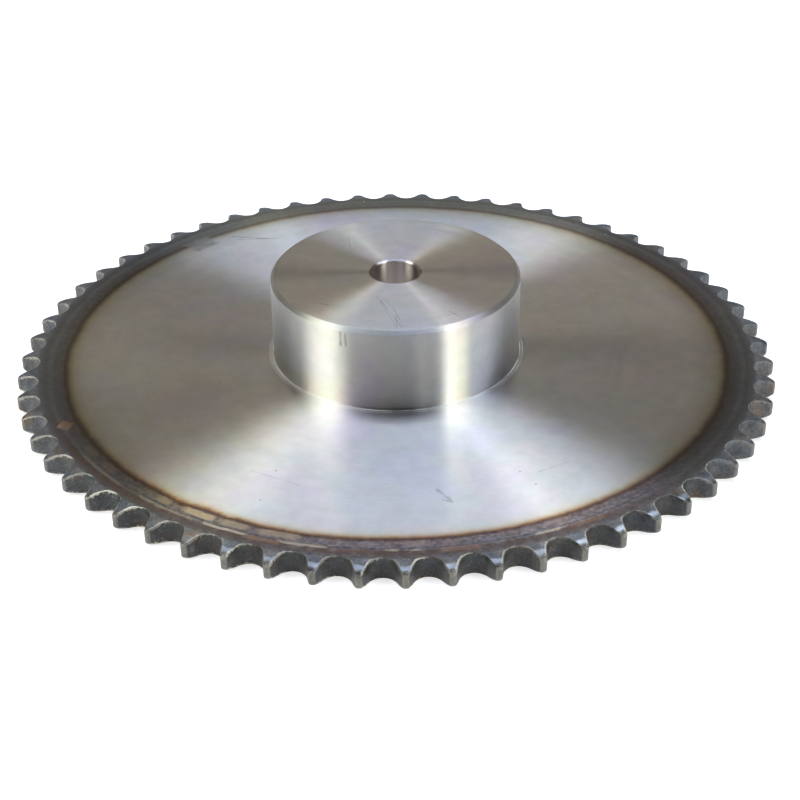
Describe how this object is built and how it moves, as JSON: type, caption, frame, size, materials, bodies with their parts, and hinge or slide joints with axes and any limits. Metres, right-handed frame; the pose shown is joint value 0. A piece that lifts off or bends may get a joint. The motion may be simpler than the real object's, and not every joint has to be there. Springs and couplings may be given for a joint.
{
  "type": "chain sprocket",
  "caption": "Steel sprocket for single-strand roller chain: a toothed disc with a round hub on one side and a plain bore.",
  "frame": {"origin": "on the bore's axis, in the plane of the disc's flat back face, on which the part lies", "axes": "+Z along the bore's axis, from the disc towards the hub; +X through the middle of a tooth"},
  "size_m": [0.248, 0.248, 0.035],
  "materials": {
    "turned_steel": "finely turned steel, with heat-tinted and darkened hardened teeth"
  },
  "bodies": {
    "root": {"sprocket": "turned_steel"}
  },
  "joints": []
}
